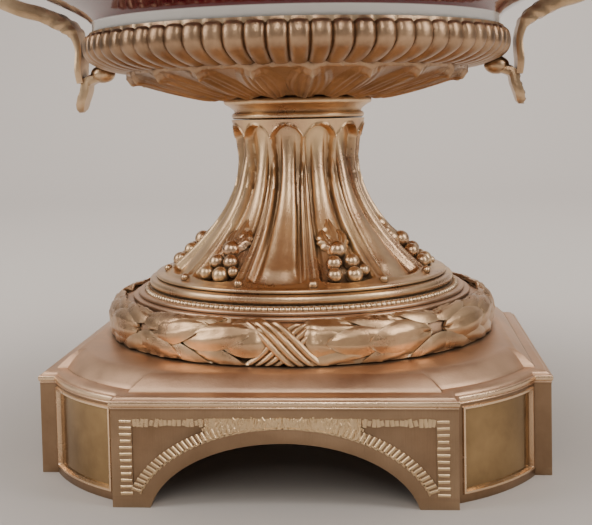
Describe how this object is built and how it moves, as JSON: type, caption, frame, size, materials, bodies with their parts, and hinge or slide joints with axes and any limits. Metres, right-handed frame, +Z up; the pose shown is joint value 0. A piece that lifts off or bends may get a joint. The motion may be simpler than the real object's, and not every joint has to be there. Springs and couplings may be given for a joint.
{
  "type": "footed porcelain bowl in gilt-bronze mounts",
  "caption": "Porcelain bowl with strap handles, held in a gadrooned gilt-bronze cup on a fluted foot, a laurel ring and a square arched plinth.",
  "frame": {"origin": "middle of the plinth's underside", "axes": "+Z up, +X towards the right handle, -Y towards the front panel"},
  "size_m": [0.3582, 0.316, 0.2569],
  "materials": {
    "plinth_bronze": "satin gilt bronze with burnished edges and brown patina",
    "wreath_ring_bronze": "satin gilt bronze with burnished edges and brown patina",
    "fluted_foot_bronze": "satin gilt bronze with burnished edges and brown patina",
    "neck_collar_bronze": "satin gilt bronze with burnished edges and brown patina",
    "gadrooned_cup_bronze": "satin gilt bronze with burnished edges and brown patina",
    "handle_left_bronze": "satin gilt bronze with burnished edges and brown patina",
    "handle_right_bronze": "satin gilt bronze with burnished edges and brown patina",
    "porcelain": "glossy dark red glaze, white glazed band at the foot"
  },
  "bodies": {
    "root": {"plinth": "plinth_bronze", "wreath_ring": "wreath_ring_bronze", "fluted_foot": "fluted_foot_bronze", "neck_collar": "neck_collar_bronze", "gadrooned_cup": "gadrooned_cup_bronze", "porcelain_bowl": "porcelain", "handle_left": "handle_left_bronze", "handle_right": "handle_right_bronze"}
  },
  "joints": []
}
